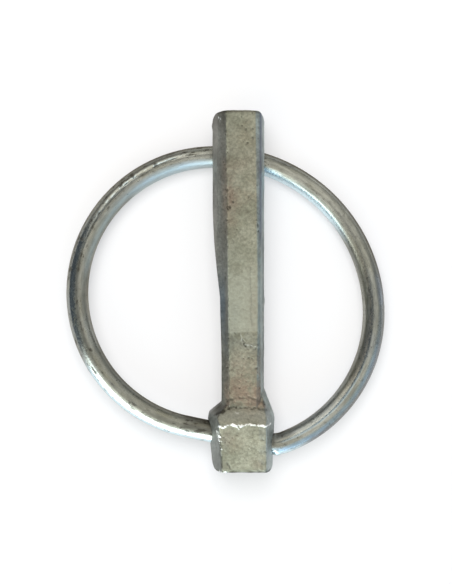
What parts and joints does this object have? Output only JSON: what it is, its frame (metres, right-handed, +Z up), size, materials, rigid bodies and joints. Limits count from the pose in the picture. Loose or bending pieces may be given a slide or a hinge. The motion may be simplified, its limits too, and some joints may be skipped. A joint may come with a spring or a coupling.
{
  "type": "lynch pin",
  "caption": "Forged linch pin with a square-sided head, a bevelled shank, and a spring-wire ring that swings in a cross bore and closes behind the shank.",
  "frame": {"origin": "on the ground, under the middle of the part's box, with the part lying on its back", "axes": "+Z up, out of the front face; +Y along the shank to the tip; +X to the right of the front face"},
  "size_m": [0.0588, 0.0658, 0.0132],
  "materials": {
    "pin": "dull zinc-plated forged steel, finely pitted, with a warm grey cast and a few brown marks",
    "ring": "zinc-plated drawn spring wire, darker and smoother than the pin"
  },
  "bodies": {
    "pin": {"pin": "pin"},
    "ring": {"ring": "ring"}
  },
  "joints": [
    {"name": "ring_hinge", "type": "hinge", "parent": "pin", "child": "ring", "pos_m": [0.0028, -0.02702, 0.00588], "axis": [-0.9792, 0.2025, 0.0105], "range_deg": [0, 345.2]}
  ]
}
